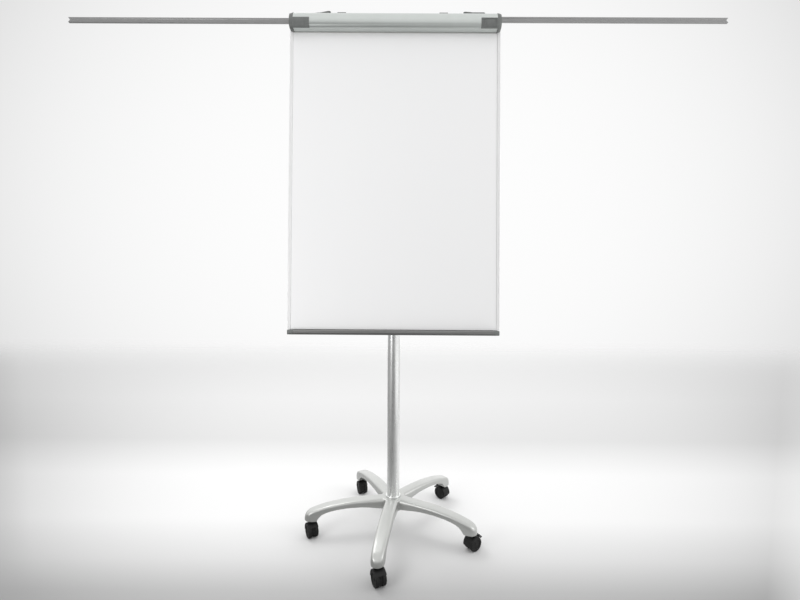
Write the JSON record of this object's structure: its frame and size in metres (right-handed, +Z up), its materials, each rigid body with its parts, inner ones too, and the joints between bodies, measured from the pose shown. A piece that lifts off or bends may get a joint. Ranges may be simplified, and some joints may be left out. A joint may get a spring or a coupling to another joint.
{
  "type": "flipchart easel",
  "caption": "Mobile flipchart easel: a tilted writing board with pen tray, hinged paper clamp and pull-out paper arms on a telescopic column with a five-star castor base.",
  "frame": {"origin": "on the floor, in the middle of the outer box in X and Y", "axes": "+X to the right as the writer sees it and along the paper arms, -Y towards the writer, +Z up"},
  "size_m": [2.228, 0.6176, 1.8164],
  "materials": {
    "silver_paint": "satin silver powder coat",
    "column_silver": "satin silver",
    "clamp_aluminium": "satin anodised, slightly green-grey",
    "tray_aluminium": "satin anodised, darker grey",
    "arm_aluminium": "matt anodised",
    "white_enamel": "gloss white lacquer on steel",
    "frame_white": "satin white",
    "board_core": "plain board",
    "cap_grey": "moulded dark grey",
    "dark_plastic": "moulded",
    "black_nylon": "moulded black nylon",
    "castor_tread": "black tread",
    "zinc_steel": "zinc plated",
    "grip_rubber": "ribbed"
  },
  "bodies": {
    "base": {"base_star": "silver_paint", "column_foot_ring": "column_silver", "front_castor_stem": "zinc_steel", "front_right_castor_stem": "zinc_steel", "back_right_castor_stem": "zinc_steel", "back_left_castor_stem": "zinc_steel", "front_left_castor_stem": "zinc_steel", "outer_tube": "column_silver", "guide_bush": "dark_plastic", "lock_collar": "dark_plastic"},
    "front_swivel": {"front_castor_housing": "black_nylon", "front_castor_axle": "zinc_steel"},
    "front_wheel_a": {"front_castor_wheel_a": "castor_tread"},
    "front_wheel_b": {"front_castor_wheel_b": "castor_tread"},
    "front_right_swivel": {"front_right_castor_housing": "black_nylon", "front_right_castor_axle": "zinc_steel"},
    "front_right_wheel_a": {"front_right_castor_wheel_a": "castor_tread"},
    "front_right_wheel_b": {"front_right_castor_wheel_b": "castor_tread"},
    "front_right_brake": {"front_right_brake_lever": "dark_plastic"},
    "back_right_swivel": {"back_right_castor_housing": "black_nylon", "back_right_castor_axle": "zinc_steel"},
    "back_right_wheel_a": {"back_right_castor_wheel_a": "castor_tread"},
    "back_right_wheel_b": {"back_right_castor_wheel_b": "castor_tread"},
    "back_right_brake": {"back_right_brake_lever": "dark_plastic"},
    "back_left_swivel": {"back_left_castor_housing": "black_nylon", "back_left_castor_axle": "zinc_steel"},
    "back_left_wheel_a": {"back_left_castor_wheel_a": "castor_tread"},
    "back_left_wheel_b": {"back_left_castor_wheel_b": "castor_tread"},
    "front_left_swivel": {"front_left_castor_housing": "black_nylon", "front_left_castor_axle": "zinc_steel"},
    "front_left_wheel_a": {"front_left_castor_wheel_a": "castor_tread"},
    "front_left_wheel_b": {"front_left_castor_wheel_b": "castor_tread"},
    "lock_knob": {"lock_knob": "black_nylon"},
    "head": {"inner_tube": "column_silver", "head_bracket": "silver_paint", "bracket_bolt": "zinc_steel", "writing_sheet": "white_enamel", "board_core": "board_core", "side_profile_left": "frame_white", "side_profile_right": "frame_white", "pen_tray": "tray_aluminium", "tray_cap_left": "cap_grey", "tray_cap_right": "cap_grey", "top_rail": "clamp_aluminium", "hinge_rod": "zinc_steel", "arm_rail": "arm_aluminium", "rail_end_left": "dark_plastic", "rail_end_right": "dark_plastic"},
    "jaw": {"clamp_jaw": "clamp_aluminium", "jaw_cap_left": "cap_grey", "jaw_cap_right": "cap_grey", "jaw_spring_left": "zinc_steel", "jaw_spring_right": "zinc_steel", "jaw_grip_strip": "grip_rubber"},
    "pad_hook_left": {"pad_hook_left": "cap_grey"},
    "arm_left": {"arm_left": "arm_aluminium"},
    "arm_lock_left": {"arm_lock_left": "cap_grey"},
    "pad_hook_right": {"pad_hook_right": "cap_grey"},
    "arm_right": {"arm_right": "arm_aluminium"},
    "arm_lock_right": {"arm_lock_right": "cap_grey"}
  },
  "joints": [
    {"name": "front_castor_swivel", "type": "hinge", "parent": "base", "child": "front_swivel", "pos_m": [-0.04333, -0.27081, 0.045], "axis": [0, 0, 1], "continuous": true},
    {"name": "front_wheel_a_spin", "type": "hinge", "parent": "front_swivel", "child": "front_wheel_a", "pos_m": [-0.02887, -0.2751, 0.025], "axis": [0.9063, 0.4226, 0], "continuous": true},
    {"name": "front_wheel_b_spin", "type": "hinge", "parent": "front_swivel", "child": "front_wheel_b", "pos_m": [-0.04935, -0.28465, 0.025], "axis": [0.9063, 0.4226, 0], "continuous": true},
    {"name": "front_right_castor_swivel", "type": "hinge", "parent": "base", "child": "front_right_swivel", "pos_m": [0.26494, -0.1069, 0.045], "axis": [0, 0, 1], "continuous": true},
    {"name": "front_right_wheel_a_spin", "type": "hinge", "parent": "front_right_swivel", "child": "front_right_wheel_a", "pos_m": [0.26665, -0.09191, 0.025], "axis": [-0.5736, 0.8192, 0], "continuous": true},
    {"name": "front_right_wheel_b_spin", "type": "hinge", "parent": "front_right_swivel", "child": "front_right_wheel_b", "pos_m": [0.27961, -0.11042, 0.025], "axis": [-0.5736, 0.8192, 0], "continuous": true},
    {"name": "front_right_brake_press", "type": "hinge", "parent": "front_right_swivel", "child": "front_right_brake", "pos_m": [0.28536, -0.0926, 0.05308], "axis": [-0.5736, 0.8192, 0], "range_deg": [0, 7]},
    {"name": "back_right_castor_swivel", "type": "hinge", "parent": "base", "child": "back_right_swivel", "pos_m": [0.20431, 0.23694, 0.045], "axis": [0, 0, 1], "continuous": true},
    {"name": "back_right_wheel_a_spin", "type": "hinge", "parent": "back_right_swivel", "child": "back_right_wheel_a", "pos_m": [0.18925, 0.23602, 0.025], "axis": [-0.7071, -0.7071, 0], "continuous": true},
    {"name": "back_right_wheel_b_spin", "type": "hinge", "parent": "back_right_swivel", "child": "back_right_wheel_b", "pos_m": [0.20523, 0.252, 0.025], "axis": [-0.7071, -0.7071, 0], "continuous": true},
    {"name": "back_right_brake_press", "type": "hinge", "parent": "back_right_swivel", "child": "back_right_brake", "pos_m": [0.18669, 0.25457, 0.05308], "axis": [-0.7071, -0.7071, 0], "range_deg": [0, 7]},
    {"name": "back_left_castor_swivel", "type": "hinge", "parent": "base", "child": "back_left_swivel", "pos_m": [-0.14143, 0.28553, 0.045], "axis": [0, 0, 1], "continuous": true},
    {"name": "back_left_wheel_a_spin", "type": "hinge", "parent": "back_left_swivel", "child": "back_left_wheel_a", "pos_m": [-0.12739, 0.28, 0.025], "axis": [0.9397, 0.342, 0], "continuous": true},
    {"name": "back_left_wheel_b_spin", "type": "hinge", "parent": "back_left_swivel", "child": "back_left_wheel_b", "pos_m": [-0.14863, 0.27227, 0.025], "axis": [0.9397, 0.342, 0], "continuous": true},
    {"name": "front_left_castor_swivel", "type": "hinge", "parent": "base", "child": "front_left_swivel", "pos_m": [-0.29449, -0.02828, 0.045], "axis": [0, 0, 1], "continuous": true},
    {"name": "front_left_wheel_a_spin", "type": "hinge", "parent": "front_left_swivel", "child": "front_left_wheel_a", "pos_m": [-0.27976, -0.03154, 0.025], "axis": [0.8746, 0.4848, 0], "continuous": true},
    {"name": "front_left_wheel_b_spin", "type": "hinge", "parent": "front_left_swivel", "child": "front_left_wheel_b", "pos_m": [-0.29952, -0.0425, 0.025], "axis": [0.8746, 0.4848, 0], "continuous": true},
    {"name": "lock_knob_turn", "type": "hinge", "parent": "base", "child": "lock_knob", "pos_m": [-0.002, 0.0733, 0.975], "axis": [0, 1, 0], "range_deg": [-180, 180]},
    {"name": "height_slide", "type": "slide", "parent": "base", "child": "head", "axis": [0, 0, 1], "range_m": [-0.2, 0.2]},
    {"name": "jaw_open", "type": "hinge", "parent": "head", "child": "jaw", "pos_m": [-0.002, -0.02015, 1.78529], "axis": [-1, 0, 0], "range_deg": [0, 60], "stiffness_Nm_per_rad": 1.5, "springref_deg": -57.3},
    {"name": "pad_hook_left_slide", "type": "slide", "parent": "head", "child": "pad_hook_left", "axis": [1, 0, 0], "range_m": [-0.1, 0.13]},
    {"name": "arm_left_pull", "type": "slide", "parent": "head", "child": "arm_left", "axis": [1, 0, 0], "range_m": [0, 0.58]},
    {"name": "arm_lock_left_turn", "type": "hinge", "parent": "head", "child": "arm_lock_left", "pos_m": [-0.285, 0.02179, 1.80571], "axis": [0, 0.0872, 0.9962], "range_deg": [-45, 90]},
    {"name": "pad_hook_right_slide", "type": "slide", "parent": "head", "child": "pad_hook_right", "axis": [1, 0, 0], "range_m": [-0.12, 0.11]},
    {"name": "arm_right_pull", "type": "slide", "parent": "head", "child": "arm_right", "axis": [-1, 0, 0], "range_m": [0, 0.58]},
    {"name": "arm_lock_right_turn", "type": "hinge", "parent": "head", "child": "arm_lock_right", "pos_m": [0.2925, 0.01481, 1.80632], "axis": [0, 0.0872, 0.9962], "range_deg": [-90, 45]}
  ]
}
